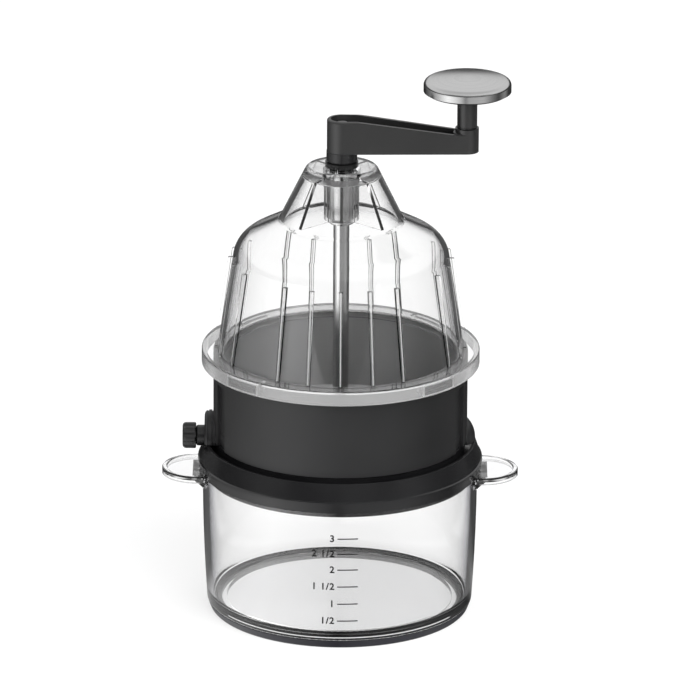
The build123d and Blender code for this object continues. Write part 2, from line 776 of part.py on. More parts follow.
def make_dome():
    outer = dome_outline()
    inner = inset(outer, dome_wall)
    foot_z = flange_top_z - flange_height
    inner[0] = (inner[0][0], foot_z)
    ceiling_z = dome_top_z - neck_roof
    (low_radius, low_z), (high_radius, high_z) = inner[-2], inner[-1]
    share = (ceiling_z - low_z) / (high_z - low_z)
    inner[-1] = (low_radius + (high_radius - low_radius) * share, ceiling_z)
    shell = dome_form(outer, [shoulder_rounding, neck_foot_rounding, neck_top_rounding])
    flange = turned((0, foot_z), (dome_skirt_bore_radius, foot_z), (dome_skirt_bore_radius, dome_skirt_z),
                    (flange_radius, dome_skirt_z), (flange_radius, flange_top_z), (0, flange_top_z))
    flange = round_edges_at(flange, flange_top_z, flange_radius, flange_rounding)
    shell += flange
    shell += dome_ribs()
    hollow = dome_form(
        inner, [shoulder_rounding - dome_wall, neck_foot_rounding + dome_wall, neck_ceiling_rounding])
    hollow -= rod(guide_tube_radius, guide_tube_z, dome_top_z)
    web = block((bush_radius, neck_foot_radius), (-neck_web_width / 2, neck_web_width / 2),
                (guide_tube_z, dome_top_z))
    hollow -= around(web & rod(neck_foot_radius, guide_tube_z, dome_top_z), corner_angles)
    shell -= hollow
    spigot_radius = body_bore_radius - spigot_fit
    shell += tube(spigot_radius, spigot_radius - spigot_wall,
                  foot_z - spigot_drop, flange_top_z - flange_height / 2)
    shell += around(bayonet_ledge(), corner_angles)
    return shell - rod(bush_radius + running_gap, guide_tube_z - easy_gap, dome_top_z)


# ---- Guide bush ----------------------------------------------------------------------------
def make_guide_bush():
    bore = shaft_radius + running_gap
    bush = tube(bush_radius, bore, guide_bush_bottom_z, dome_top_z + seat_gap)
    bush += tube(bush_flange_radius, bore, dome_top_z + seat_gap, guide_bush_top_z)
    half = key_groove_width / 2 - key_side_gap
    tip = shaft_radius - key_groove_depth + key_tip_gap
    key_root = bush_radius - clip_groove_depth * 2
    bush += block((-half, half), (-key_root, -tip), (guide_bush_bottom_z, guide_bush_top_z))
    return bush - tube(bush_radius + easy_gap, bush_radius - clip_groove_depth, *clip_levels())


def clip_levels():
    top_z = guide_tube_z - seat_gap
    return top_z - clip_thickness, top_z


def make_bush_clip():
    bottom_z, top_z = clip_levels()
    clip = tube(clip_radius, bush_radius - clip_groove_depth, bottom_z, top_z)
    return clip - block((0, clip_radius), (-clip_mouth / 2, clip_mouth / 2), (bottom_z, top_z))


# ---- Crank -----------------------------------------------------------------------------------
def make_shaft():
    bar = rod(shaft_radius, shaft_bottom_z, shaft_top_z)
    half = key_groove_width / 2
    groove_bottom_z = holder_disc_z + holder_hub_top
    bar -= block((-half, half), (-shaft_radius, key_groove_depth - shaft_radius),
                 (groove_bottom_z, collar_z))
    bar -= rod(screw_radius, shaft_top_z - arm_screw_bite - easy_gap, shaft_top_z)
    return bar - holder_pin_shape()


def make_collar():
    collar = tube(collar_radius, shaft_radius, collar_z, arm_z)
    return round_edges_at(collar, collar_z, collar_radius, collar_rounding)


def arm_plan(shrink):
    """The arm seen from above: two circles and the straight sides that touch them."""
    hub = Circle(arm_hub_radius - shrink)
    end = Pos(crank_radius) * Circle(arm_end_radius - shrink)
    return make_hull(hub.edges() + end.edges())


def make_crank_arm():
    """Tapered arm with a sloping top, a trough along it and a boss at each end."""
    waist_x = crank_radius - arm_end_radius
    far_x = crank_radius + arm_hub_radius
    above = arm_top_z + arm_hub_height
    bar = Pos(0, 0, arm_z) * extrude(arm_plan(0), arm_hub_height)
    slope_cut = plate_on_edge(
        arm_hub_radius * 2 + easy_gap, (arm_hub_radius, arm_top_z), (waist_x, arm_z + arm_waist_height),
        (far_x, arm_z + arm_waist_height), (far_x, above), (arm_hub_radius, above))
    bar -= slope_cut
    bar = fillet(bar.edges().group_by(Axis.Z)[-1], arm_rounding)
    bar += Pos(crank_radius) * rod(arm_end_radius, arm_z, end_boss_z)
    trough = Pos(0, 0, arm_z + arm_floor) * extrude(arm_plan(arm_wall), arm_hub_height)
    trough -= rod(arm_hub_radius - arm_wall + easy_gap, arm_z, arm_z + arm_floor_at_hub)
    trough -= Pos(crank_radius) * rod(arm_end_radius + arm_wall / 2, arm_z, above)
    bar -= trough
    bar -= rod(shaft_radius, arm_z, shaft_top_z)
    bar -= rod(screw_radius + screw_hole_gap, arm_z, above)
    return bar - Pos(crank_radius) * rod(knob_pin_radius, end_boss_z - knob_pin_bite, end_boss_z)


def make_arm_screw():
    seat_z = arm_z + arm_floor_at_hub
    length = seat_z - shaft_top_z + arm_screw_bite
    return Pos(0, 0, seat_z) * Rot(180, 0, 0) * screw(
        arm_screw_head_radius, screw_head_height, screw_radius, length)


def holder_pin_shape():
    half = holder_hub_radius - easy_gap
    lying = Rot(0, 90, 0) * Cylinder(holder_pin_radius, half * 2)
    return Pos(0, 0, holder_disc_z + holder_pin_height) * lying


def holder_fin():
    """One row of pointed teeth under the food holder's disc, out from its hub."""
    first = holder_hub_radius - holder_tooth_width
    last = holder_radius - holder_tooth_width
    pitch = (last - first) / holder_fin_teeth
    middle_z = holder_disc_z + holder_disc_height / 2
    root_z = holder_disc_z - holder_tooth_root_height
    outline = [(first, middle_z), (first, root_z)]
    for index in range(holder_fin_teeth):
        outline.append((first + pitch * (index + 0.5), holder_disc_z - holder_tooth_height))
        outline.append((first + pitch * (index + 1), root_z))
    outline.append((last, middle_z))
    return plate_on_edge(holder_tooth_width, *outline)


def make_food_holder():
    """Disc with rows of pointed teeth underneath, and a hub that takes the end of the shaft."""
    disc = rod(holder_radius, holder_disc_z, holder_disc_z + holder_disc_height)
    disc += rod(holder_hub_radius, holder_hub_z, holder_disc_z + holder_hub_top)
    step = 360 / holder_fin_count
    disc += around(holder_fin(), [step * (index + 0.5) for index in range(holder_fin_count)])
    disc -= rod(shaft_radius, shaft_bottom_z, holder_disc_z + holder_hub_top)
    return disc - holder_pin_shape()


def make_knob_pin():
    """Shoulder screw: its head sits in the knob, its foot is fixed in the arm's end boss."""
    pin = rod(knob_pin_radius, end_boss_z - knob_pin_bite, knob_pin_head_z)
    pin += rod(knob_pin_head_radius, knob_pin_head_z, knob_pin_head_z + knob_pin_head_height)
    return Pos(crank_radius) * pin


# ---- Crank knob --------------------------------------------------------------------------------
def make_pin_washer():
    bottom_z = end_boss_z + seat_gap
    return Pos(crank_radius) * tube(knob_post_radius, knob_pin_radius + running_gap,
                                    bottom_z, bottom_z + washer_thickness)


def make_knob_body():
    """Post that flares into the underside of the disc, bored for the pin and its head."""
    bottom_z = end_boss_z + seat_gap + washer_thickness
    rim = disc_radius - cap_thickness
    inner_top_z = disc_top_z - cap_thickness
    body = turned((0, bottom_z), (knob_post_radius, bottom_z),
                  (knob_post_radius, disc_z - knob_post_flare_height),
                  (knob_post_radius + knob_post_flare, disc_z), (rim - disc_skirt_inset, disc_z),
                  (rim, disc_z + disc_skirt_inset), (rim, inner_top_z - disc_skirt_inset),
                  (rim - disc_skirt_inset, inner_top_z), (0, inner_top_z))
    body -= rod(knob_pin_radius + running_gap, bottom_z, knob_pin_head_z)
    body -= rod(knob_pin_head_radius + easy_gap, knob_pin_head_z - seat_gap, inner_top_z)
    return Pos(crank_radius) * body


def make_knob_cap():
    """Steel cap with a slightly domed top, folded down round the edge of the disc."""
    half_way_z = disc_top_z + disc_dome * 3 / 4
    inner = disc_radius - cap_thickness
    edge_z = disc_z + disc_skirt_inset
    under_z = disc_top_z - cap_thickness
    top = (0, disc_top_z + disc_dome)
    crown = ThreePointArc((disc_radius, disc_top_z), (disc_radius / 2, half_way_z), top)
    rest = Polyline(top, (0, under_z), (inner - disc_skirt_inset, under_z),
                    (inner, under_z - disc_skirt_inset), (inner, edge_z), (disc_radius, edge_z),
                    (disc_radius, disc_top_z))
    cap = revolve(Plane.XZ * make_face(crown + rest), Axis.Z)
    return Pos(crank_radius) * round_edges_at(cap, disc_top_z, disc_radius, cap_edge_rounding)


# ---- All sub-parts --------------------------------------------------------------------------------
def as_part(shapes):
    """One shape, or a group of separate solids under one name."""
    return Compound(children=shapes) if isinstance(shapes, list) else shapes


parts = {
    "container": make_container(),
    "foot_ring": make_foot_ring(),
    "base_ring": make_base_ring(),
    "rim_seal": make_rim_seal(),
    "ring_screws": make_ring_screws(),
    "housing": make_housing(),
    "blade_plate": make_blade_plate(),
    "straight_blade": make_straight_blade(),
    "blade_screws": make_blade_screws(),
    "coring_tube": make_coring_tube(),
    "selector_bush": make_selector_bush(),
    "selector_rod": make_selector_rod(),
    "comb_medium": leftward(comb(medium_tooth_count)),
    "comb_fine": leftward(Rot(0, 0, -selector_step_angle) * comb(fine_tooth_count)),
    "selector_knob": make_selector_knob(),
    "dome": make_dome(),
    "guide_bush": make_guide_bush(),
    "bush_clip": make_bush_clip(),
    "shaft": make_shaft(),
    "collar": make_collar(),
    "crank_arm": make_crank_arm(),
    "arm_screw": make_arm_screw(),
    "food_holder": make_food_holder(),
    "holder_pin": holder_pin_shape(),
    "knob_pin": make_knob_pin(),
    "pin_washer": make_pin_washer(),
    "knob_body": make_knob_body(),
    "knob_cap": make_knob_cap(),
}

os.makedirs("parts", exist_ok=True)
for name, shapes in parts.items():
    export_step(as_part(shapes), f"parts/{name}.step")
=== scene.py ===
"""Looks of the hand-cranked spiralizer: finishes, printed cup marks, stage, lights and camera."""
import math
import bpy
from mathutils import Matrix, Vector


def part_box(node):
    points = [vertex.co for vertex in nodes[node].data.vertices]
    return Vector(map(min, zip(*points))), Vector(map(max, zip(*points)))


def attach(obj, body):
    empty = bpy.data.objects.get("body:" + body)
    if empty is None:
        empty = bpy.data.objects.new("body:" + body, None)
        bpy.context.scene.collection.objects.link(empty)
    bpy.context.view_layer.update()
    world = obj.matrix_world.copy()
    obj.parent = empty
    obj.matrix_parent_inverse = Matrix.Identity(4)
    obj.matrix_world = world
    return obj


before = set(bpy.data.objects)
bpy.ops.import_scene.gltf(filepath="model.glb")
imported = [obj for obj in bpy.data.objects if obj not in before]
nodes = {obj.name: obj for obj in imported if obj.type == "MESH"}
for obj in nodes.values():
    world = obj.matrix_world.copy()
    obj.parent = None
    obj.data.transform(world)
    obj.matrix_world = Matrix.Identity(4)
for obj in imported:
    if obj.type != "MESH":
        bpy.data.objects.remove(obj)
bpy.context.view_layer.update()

MM = 0.001

# ---- Places read from the frame ------------------------------------------------------------------
container_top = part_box("container")[1].z
foot_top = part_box("foot_ring")[1].z
cap_low, cap_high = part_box("knob_cap")

# ---- Camera: looks along +Y from above the horizon, from far away --------------------------------
camera_elevation = math.radians(19.2)
camera_roll = math.radians(0.35)
camera_distance = 4.5
camera_reach = 50.0
camera_sensor = 36.0
frame_pixels = 700
pixels_per_radian = 8964.0
pixel_size = camera_distance / pixels_per_radian
anchor_height = 139.1 * MM        # this point of the axis is seen at the anchor pixel
anchor_pixel = (340.7, 342.4)

# ---- Cup marks on the front of the container -----------------------------------------------------
mark_heights = {"1/2": 15.2 * MM, "1": 24.4 * MM, "1 1/2": 33.7 * MM,
                "2": 42.8 * MM, "2 1/2": 51.3 * MM, "3": 59.4 * MM}
tick_start = -1.0 * MM
tick_end = 9.3 * MM
tick_thickness = 0.6 * MM
tick_steps = 12
numeral_size = 5.0 * MM
numeral_boldness = 0.12 * MM
numeral_spacing = 1.12
numeral_end = -2.4 * MM
numeral_resolution = 4
ink_proud = 0.03 * MM
ink_thickness = 0.02 * MM

container_bulge = 0.65 * MM       # of the side, half way up
container_rim_radius = 69.2 * MM
container_base_radius = 66.9 * MM

# ---- Plastics, rubbers and steels: greys and colours are linear, scales are per metre ------------
# Darkest and lightest of the faint clouding, roughness, and scale of the fine grain.
plastics = {
    "black_plastic": ((0.0055, 0.0055, 0.006), (0.0075, 0.0075, 0.008), 0.2, 900.0),
    "arm_black": (0.009, 0.012, 0.34, 900.0),
    "knob_plastic": ((0.005, 0.005, 0.0055), 0.008, 0.3, 900.0),
    "housing_black": ((0.0075, 0.0075, 0.008), (0.0095, 0.0095, 0.01), 0.4, 900.0),
    "foot_rubber": ((0.008, 0.008, 0.013), (0.013, 0.013, 0.019), 0.5, 1400.0),
    "seal_rubber": ((0.05, 0.05, 0.055), (0.07, 0.07, 0.075), 0.6, 900.0),
    "grey_plastic": (0.3, 0.36, 0.3, 900.0),
    "bush_grey": (0.6, 0.68, 0.22, 900.0),
}
cloud_scale = 38.0
cloud_band = (0.35, 0.65)         # of the noise, over which the colour goes from dark to light
cloud_gloss = 0.05                # the roughness goes this far up and down with the clouding
grain_strength = 0.12
grain_depth = 0.05 * MM
edge_rounding = 0.25 * MM
arm_shine = 0.7

# Grey, roughness, anisotropy, and how the fine lines are drawn out: a small number is a long line.
steels = {
    "shaft_steel": (0.82, 0.24, 0.4, (1.0, 1.0, 0.05)),
    "blade_steel": (0.66, 0.18, 0.0, (0.05, 1.0, 1.0)),
    "screw_steel": (0.5, 0.3, 0.0, (1.0, 1.0, 1.0)),
}
line_band = (0.3, 0.7)            # of the noise, over which lines and rings go from dark to light
line_scale = 900.0
line_shade = 0.88                 # of the grey, in the darkest lines
line_gloss = (0.8, 1.2)           # of the roughness, from the darkest lines to the lightest
line_strength = 0.05
line_depth = 0.02 * MM

cap_greys = (0.5, 0.62)
cap_roughness = 0.16
cap_anisotropy = 0.4
cap_ring_scale = 5200.0
cap_ring_strength = 0.08

ink_greys = (0.002, 0.006)
ink_grain_scale = 700.0
ink_roughness = 0.55
ink_shine = 0.2

# ---- Inside wall of the housing: greyer and partly metallic, a painted sheen in place of the light on it ---
hopper_radius = 60.7 * MM
hopper_softness = 0.15 * MM
# painted sheen: grey of the inside wall, in place of the light falling on the dark plastic
hopper_painted_sheen_grey = 0.42
hopper_metal = 0.4
hopper_anisotropy = 0.7

# ---- Guide bush: grey with a metal pigment, black in its flange, and a slot line painted black as shade ---
bush_metal = 0.8
# black of the flange, and the painted shade of the slot line
bush_black_and_slot_shade = 0.008
bush_flange_height = 232.35 * MM  # the flange is above this
slot_shade_half_width = 0.6 * MM
slot_shade_softness = 0.08 * MM

# ---- Clear plastic -------------------------------------------------------------------------------
# What a wall seen along its length lets through, and from how far along it the tint starts.
dome_edge_tint, dome_edge_start = (0.85, 0.85, 0.87), 0.5
container_edge_tint, container_edge_start = (0.8, 0.8, 0.9), 0.6
clear_ior = 1.49
clear_roughness = 0.02
haze_scale = 160.0
ripple_scale = 45.0
ripple_strength = 0.012
ripple_depth = 0.2 * MM
wall_match = 0.996                # cosine of the angle within which a mesh normal takes the wall's own
# Corners of the dome's outer wall, (radius, height), from the flange to the top of the neck.
dome_corners = [(61.9 * MM, 137.0 * MM), (52.9 * MM, 193.0 * MM),
                (31.2 * MM, 204.5 * MM), (17.6 * MM, 232.3 * MM)]
shoulder_rounding = 14.5 * MM

# ---- Greyed parts of the dome: painted light on the flange's skirt, painted highlight lines on the ribs, and the neck's ceiling ---
# painted light: the skirt, the lines round its bayonet windows and the rib lines are greyed and made less
# clear in place of light caught in the clear wall
painted_light_grey = 0.6
painted_light_clarity = 0.6
painted_light_roughness = 0.3
painted_light_softness = 0.1 * MM         # of the edges between clear and greyed
skirt_top = 136.6 * MM
skirt_radius = 67.5 * MM
skirt_painted_light = 0.72
window_pitch = 90.0               # degrees between the bayonet windows, which are on the diagonals
window_half_angle = 8.5           # degrees
window_low = 130.8 * MM
window_high = 135.2 * MM
window_painted_light = 0.3
frame_line_width = 0.5 * MM       # of the lines round the bayonet windows
ceiling_height = 226.8 * MM       # the underside of the neck's roof
ceiling_reach = 0.3 * MM          # above and below that height
ceiling_radius = 18.0 * MM
ceiling_dulling = 0.5
rib_pitch = 15.0                  # degrees between ribs
rib_foot_gap = 0.5 * MM           # between the flange and the foot of the painted highlight line on a rib
rib_top = 184.5 * MM
# painted highlight: half width of the greyed line along each rib
rib_highlight_half_width = 0.35 * MM
rib_proud = 1.0 * MM              # the line lies further out from the wall than this

# ---- Studio --------------------------------------------------------------------------------------
floor_half_size = 6.0
floor_grey = 0.9
floor_roughness = 0.9
floor_glow_share = 0.7            # of the floor's look that is plain white, the rest is lit
# Greys that a mirror sees on the floor, by degrees from the front, the right hand positive:
# first for a mirror in the open, then for one seen through clear plastic.
floor_cards = [(-150, 0.02), (-112, 0.3), (-80, 0.85), (-50, 1.7), (-30, 1.3), (-10, 0.75), (-1, 0.25),
               (6, 0.62), (45, 0.7), (68, 0.3), (88, 0.08), (112, 0.38), (128, 0.05)]
inner_floor_cards = [(-176, 0.8), (-168, 0.1), (-112, 0.05), (-80, 0.85), (-50, 1.9),
                     (-30, 1.5), (-10, 0.9), (-1, 0.1), (6, 0.2), (45, 0.35),
                     (68, 0.5), (88, 0.2), (112, 0.05), (168, 0.1), (176, 0.8)]
# Greys of the sky, by the sine of the height above the horizon: to the eye through clear plastic,
# and to a mirror, which also sees a darker card in front, by degrees from the front.
clear_sky = [(0.1, 1.0), (0.5, 0.7), (0.85, 0.4)]
mirror_sky = [(0.18, 0.06), (0.25, 0.85), (0.6, 0.9), (0.95, 0.7)]
front_card = [(-75, 0.0), (-40, 1.0), (40, 1.0), (75, 0.0)]
front_card_grey = 0.15
front_card_top = 0.5
front_card_softness = 0.15
# Light gathered from the sky, with one soft window; its edge and core are cosines from its middle.
sky_light = 0.5
window_light = 5.5
window_direction = Vector((0.45, -0.65, 0.6)).normalized()
window_edge = 0.82
window_core = 0.93
# Place, size and power of each soft lamp.
softboxes = {
    "key_left": ((-0.9, -1.1, 0.9), (0.7, 0.9), 9.0),
    "top": ((0.0, 0.15, 1.5), (1.1, 0.9), 7.0),
}
softbox_aim = Vector((0.0, 0.0, 0.12))


# ---- Node helpers --------------------------------------------------------------------------------
def new_material(name):
    material = bpy.data.materials.new(name)
    material.use_nodes = True
    tree = material.node_tree
    return material, tree, tree.nodes["Principled BSDF"]


def node(tree, kind, inputs=None, **settings):
    """A shader node with its settings and its inputs, each a value or another node's socket."""
    made = tree.nodes.new(kind)
    for key, value in settings.items():
        setattr(made, key, value)
    for key, value in (inputs or {}).items():
        if isinstance(value, bpy.types.NodeSocket):
            tree.links.new(value, made.inputs[key])
        else:
            made.inputs[key].default_value = value
    return made


def math_node(tree, operation, *values):
    return node(tree, "ShaderNodeMath", dict(enumerate(values)), operation=operation).outputs[0]


def product(tree, first, *others):
    for other in others:
        first = math_node(tree, "MULTIPLY", first, other)
    return first


def opposite(tree, mask):
    return math_node(tree, "SUBTRACT", 1.0, mask)


def apart(tree, value, place):
    """How far the value is from a place, either way."""
    return math_node(tree, "ABSOLUTE", math_node(tree, "SUBTRACT", value, place))


def vector_math(tree, operation, first, second=None):
    """An operation on one vector or two, or on a vector and a number for SCALE."""
    inputs = {0: first}
    if second is not None:
        inputs["Scale" if operation == "SCALE" else 1] = second
    made = node(tree, "ShaderNodeVectorMath", inputs, operation=operation)
    return made.outputs["Value" if operation in ("LENGTH", "DOT_PRODUCT") else "Vector"]


def part(tree, vector, axis):
    return node(tree, "ShaderNodeSeparateXYZ", {0: vector}).outputs[axis]


def mapped(tree, value, to_low, to_high, low=0.0, high=1.0):
    """The value taken from the range low to high to another range, and held within it."""
    return node(tree, "ShaderNodeMapRange", {"Value": value, "From Min": low, "From Max": high,
                                             "To Min": to_low, "To Max": to_high}).outputs["Result"]


def below(tree, value, limit, softness):
    """1 where the value is under the limit, 0 above, with a soft step between."""
    return mapped(tree, value, 1.0, 0.0, limit - softness, limit + softness)


def rgba(colour):
    if isinstance(colour, (int, float)):
        colour = (colour, colour, colour)
    return (*colour, 1.0)


def ramp(tree, factor, *stops):
    """A colour ramp from (place, grey or colour) pairs."""
    made = node(tree, "ShaderNodeValToRGB", {"Fac": factor})
    elements = made.color_ramp.elements
    while len(elements) < len(stops):
        elements.new(0.5)
    for element, (place, colour) in zip(elements, stops):
        element.position = place
        element.color = rgba(colour)
    return made.outputs["Color"]


def mixed(tree, factor, first, second, ending="Color"):
    """The first where the factor is 0 and the second where it is 1: colours, or vectors with Vector."""
    made = node(tree, "ShaderNodeMix", data_type="RGBA" if ending == "Color" else "VECTOR")
    sockets = {socket.identifier: socket for socket in made.inputs}
    for name, value in (("Factor_Float", factor), (f"A_{ending}", first), (f"B_{ending}", second)):
        if isinstance(value, bpy.types.NodeSocket):
            tree.links.new(value, sockets[name])
        else:
            sockets[name].default_value = rgba(value) if name.endswith("Color") else value
    return next(socket for socket in made.outputs if socket.identifier == f"Result_{ending}")


def object_point(tree):
    return node(tree, "ShaderNodeTexCoord").outputs["Object"]


def noise(tree, point, scale, detail=3.0):
    made = node(tree, "ShaderNodeTexNoise", {"Vector": point, "Scale": scale, "Detail": detail})
    return made.outputs["Fac"]


def bump(tree, height, strength, distance, normal=None):
    inputs = {"Height": height, "Strength": strength, "Distance": distance}
    if normal is not None:
        inputs["Normal"] = normal
    return node(tree, "ShaderNodeBump", inputs).outputs["Normal"]


def soft_edges(tree, radius):
    return node(tree, "ShaderNodeBevel", {"Radius": radius}, samples=4).outputs["Normal"]


def flattened(tree, point):
    return vector_math(tree, "MULTIPLY", point, (1.0, 1.0, 0.0))


def axis_distance(tree, point):
    """Distance from the vertical axis, in metres."""
    return vector_math(tree, "LENGTH", flattened(tree, point))


def azimuth(tree, vector):
    """Angle of a direction or place about the vertical, 0 to 1 for -180 to 180 degrees, 0.5 in front."""
    forward = math_node(tree, "MULTIPLY", part(tree, vector, "Y"), -1.0)
    angle = math_node(tree, "ARCTAN2", part(tree, vector, "X"), forward)
    return math_node(tree, "MULTIPLY_ADD", angle, 0.5 / math.pi, 0.5)


def round_gloss(tree, shader, anisotropy):
    """Draws the gloss out round the vertical axis."""
    shader.inputs["Anisotropic"].default_value = anisotropy
    tangent = node(tree, "ShaderNodeTangent", direction_type="RADIAL", axis="Z").outputs["Tangent"]
    tree.links.new(tangent, shader.inputs["Tangent"])


def recolour(tree, shader, mask, colour):
    """Puts another colour over the shader's own where the mask is 1."""
    own = shader.inputs["Base Color"].links[0].from_socket
    tree.links.new(mixed(tree, mask, own, colour), shader.inputs["Base Color"])


# ---- Exact normals of the clear walls ------------------------------------------------------------
def wall_tilt(start, end):
    """How far the normal of a turned wall tilts up, from two corners of its outline."""
    return math.atan2(start[0] - end[0], end[1] - start[1])


def rounding_centre(before, corner, after, rounding):
    """The middle of the arc that rounds a corner of an outline."""
    sides = [(Vector(end) - Vector(corner)).normalized() for end in (before, after)]
    half_angle = sides[0].angle(sides[1]) / 2
    return Vector(corner) + (sides[0] + sides[1]).normalized() * (rounding / math.sin(half_angle))


def dome_tilt(tree, radius, height):
    """Tilt of the dome's normal: wall, rounded shoulder and slope, and the neck above them."""
    centre = rounding_centre(*dome_corners[:3], shoulder_rounding)
    up = math_node(tree, "SUBTRACT", height, centre.y)
    out = math_node(tree, "SUBTRACT", radius, centre.x)
    tilt = math_node(tree, "ARCTAN2", up, out)
    tilt = math_node(tree, "MAXIMUM", tilt, wall_tilt(*dome_corners[:2]))
    tilt = math_node(tree, "MINIMUM", tilt, wall_tilt(*dome_corners[1:3]))
    neck = math_node(tree, "GREATER_THAN", height, dome_corners[2][1])
    from_neck = math_node(tree, "SUBTRACT", wall_tilt(*dome_corners[2:]), tilt)
    return math_node(tree, "MULTIPLY_ADD", neck, from_neck, tilt)


def container_tilt(tree, radius, height):
    """Tilt of the container's normal, which follows the swell of its side."""
    lean = (container_rim_radius - container_base_radius) / (container_top - foot_top)
    swell = 4.0 * container_bulge / (container_top - foot_top)
    return mapped(tree, height, -lean - swell, swell - lean, foot_top, container_top)


def wall_normal(tree, point, tilt_of):
    """The exact normal of a turned wall, and the mesh's own away from it, so that what shows through
    the wall isn't bent by its facets."""
    tilt = tilt_of(tree, axis_distance(tree, point), part(tree, point, "Z"))
    outward = vector_math(tree, "NORMALIZE", flattened(tree, point))
    level = vector_math(tree, "SCALE", outward, math_node(tree, "COSINE", tilt))
    rise = node(tree, "ShaderNodeCombineXYZ", {"Z": math_node(tree, "SINE", tilt)}).outputs[0]
    exact = node(tree, "ShaderNodeVectorTransform", {0: vector_math(tree, "ADD", level, rise)},
                 vector_type="NORMAL", convert_from="OBJECT", convert_to="WORLD").outputs[0]
    own = node(tree, "ShaderNodeNewGeometry").outputs["Normal"]
    match = vector_math(tree, "DOT_PRODUCT", exact, own)
    facing = vector_math(tree, "SCALE", exact, math_node(tree, "SIGN", match))
    close = math_node(tree, "GREATER_THAN", math_node(tree, "ABSOLUTE", match), wall_match)
    return mixed(tree, close, own, facing, "Vector")


# ---- Materials -----------------------------------------------------------------------------------
def moulded_plastic(name):
    """Satin moulded plastic: fine grain, faint clouding in the colour and gloss, softened edges."""
    dark, light, roughness, grain_scale = plastics[name]
    material, tree, shader = new_material(name)
    point = object_point(tree)
    cloud = noise(tree, point, cloud_scale)
    colour = ramp(tree, cloud, (cloud_band[0], dark), (cloud_band[1], light))
    tree.links.new(colour, shader.inputs["Base Color"])
    gloss = mapped(tree, cloud, roughness - cloud_gloss, roughness + cloud_gloss)
    tree.links.new(gloss, shader.inputs["Roughness"])
    grain = noise(tree, point, grain_scale, 2.0)
    normal = bump(tree, grain, grain_strength, grain_depth, soft_edges(tree, edge_rounding))
    tree.links.new(normal, shader.inputs["Normal"])
    return material


def arm_plastic():
    """Black plastic with more shine than the housing's."""
    material = moulded_plastic("arm_black")
    material.node_tree.nodes["Principled BSDF"].inputs["Specular IOR Level"].default_value = arm_shine
    return material


def housing_plastic():
    """The black moulded plastic of the housing, with a painted sheen on its inside wall: greyer and partly
    metallic.
    """
    material = moulded_plastic("housing_black")
    tree = material.node_tree
    shader = tree.nodes["Principled BSDF"]
    inside = below(tree, axis_distance(tree, object_point(tree)), hopper_radius, hopper_softness)
    # painted sheen: the inside wall is greyed and made partly metallic
    recolour(tree, shader, inside, hopper_painted_sheen_grey)
    tree.links.new(math_node(tree, "MULTIPLY", inside, hopper_metal), shader.inputs["Metallic"])
    round_gloss(tree, shader, hopper_anisotropy)
    return material


def bush_plastic():
    """Grey plastic with a metal pigment, a black flange, and a slot line down the front painted black as
    shade.
    """
    material = moulded_plastic("bush_grey")
    tree = material.node_tree
    shader = tree.nodes["Principled BSDF"]
    point = object_point(tree)
    flange = math_node(tree, "GREATER_THAN", part(tree, point, "Z"), bush_flange_height)
    across = math_node(tree, "ABSOLUTE", part(tree, point, "X"))
    front = math_node(tree, "LESS_THAN", part(tree, point, "Y"), 0.0)
    # painted shade: the slot down the front is a black line, not cut into the bush
    slot = product(tree, below(tree, across, slot_shade_half_width, slot_shade_softness), front)
    black = math_node(tree, "MAXIMUM", flange, slot)
    recolour(tree, shader, black, bush_black_and_slot_shade)
    metal = math_node(tree, "MULTIPLY_ADD", black, -bush_metal, bush_metal)
    tree.links.new(metal, shader.inputs["Metallic"])
    return material


def clear_plastic(name, edge_tint, edge_start, tilt_of, dulling=None):
    """Clear moulded plastic, tinted where it is seen along its wall; dulling(tree, point) is its
    part greyed with painted light."""
    material, tree, shader = new_material(name)
    point = object_point(tree)
    facing = node(tree, "ShaderNodeLayerWeight", {"Blend": 0.5}).outputs["Facing"]
    half_tint = tuple((1 + value) / 2 for value in edge_tint)
    tint = ramp(tree, facing, (edge_start, 1.0), ((1 + edge_start) / 2, half_tint), (1.0, edge_tint))
    roughness = mapped(tree, noise(tree, point, haze_scale), 0.0, clear_roughness)
    if dulling:
        mask = dulling(tree, point)
        # painted light: greys the plastic and lowers its clarity where the mask is
        tint = mixed(tree, mask, tint, painted_light_grey)
        roughness = mapped(tree, mask, roughness, painted_light_roughness)
        clarity = mapped(tree, mask, 1.0, painted_light_clarity)
        tree.links.new(clarity, shader.inputs["Transmission Weight"])
    else:
        shader.inputs["Transmission Weight"].default_value = 1.0
    tree.links.new(tint, shader.inputs["Base Color"])
    tree.links.new(roughness, shader.inputs["Roughness"])
    shader.inputs["IOR"].default_value = clear_ior
    ripple = noise(tree, point, ripple_scale, 1.0)
    normal = bump(tree, ripple, ripple_strength, ripple_depth, wall_normal(tree, point, tilt_of))
    tree.links.new(normal, shader.inputs["Normal"])
    return material


def skirt_painted_light_share(tree, heading, height):
    """How strong the skirt's painted light is: less in the bayonet windows, and full on the lines round
    them.
    """
    turn = math_node(tree, "PINGPONG", math_node(tree, "MULTIPLY", heading, 360.0 / window_pitch), 0.5)
    inward = math_node(tree, "SUBTRACT", turn, 0.5 - window_half_angle / window_pitch)
    inward = math_node(tree, "MULTIPLY", inward, skirt_radius * math.radians(window_pitch))
    side_line = below(tree, math_node(tree, "ABSOLUTE", inward), frame_line_width, painted_light_softness)
    from_middle = apart(tree, height, (window_low + window_high) / 2)
    half_height = (window_high - window_low) / 2
    window = product(tree, math_node(tree, "GREATER_THAN", inward, 0.0),
                     math_node(tree, "LESS_THAN", from_middle, half_height), opposite(tree, side_line))
    framed = math_node(tree, "GREATER_THAN", inward, -frame_line_width)
    frame_line = product(tree, math_node(tree, "SUBTRACT", framed, window),
                         math_node(tree, "LESS_THAN", from_middle, half_height + frame_line_width))
    strength = math_node(tree, "MULTIPLY_ADD", window, window_painted_light - skirt_painted_light, skirt_painted_light)
    return math_node(tree, "MAXIMUM", strength, frame_line)


